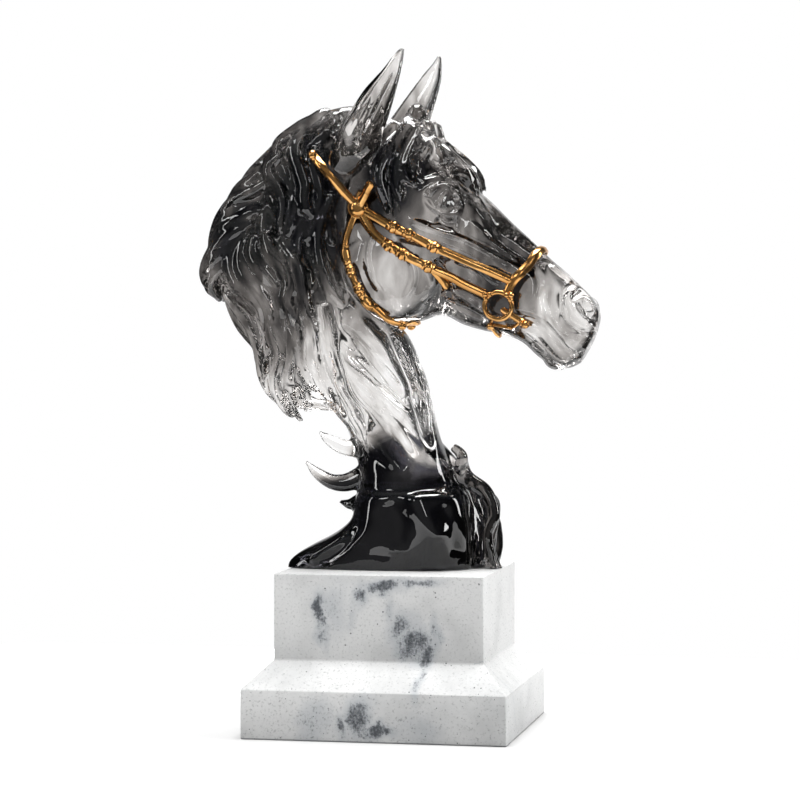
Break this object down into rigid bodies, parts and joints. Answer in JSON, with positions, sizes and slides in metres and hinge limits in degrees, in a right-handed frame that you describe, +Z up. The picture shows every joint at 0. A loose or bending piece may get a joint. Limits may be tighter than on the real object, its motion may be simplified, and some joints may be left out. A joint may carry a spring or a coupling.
{
  "type": "resin horse head figurine",
  "caption": "Horse head bust in smoke-tinted clear resin with a gilt bridle, standing on a stepped stone-effect plinth.",
  "frame": {"origin": "middle of the plinth's underside", "axes": "+Z up, +X towards the horse's nose, -Y towards the viewer of the near side"},
  "size_m": [0.2581, 0.156, 0.4302],
  "materials": {
    "stone_effect": "white stone-effect resin with grey veins and dark specks, satin",
    "smoked_resin": "clear resin with a smoky black to grey tint, polished",
    "gilt_metal": "warm gold, satin to polished"
  },
  "bodies": {
    "root": {"plinth": "stone_effect", "horse_head": "smoked_resin", "bridle": "gilt_metal"}
  },
  "joints": []
}
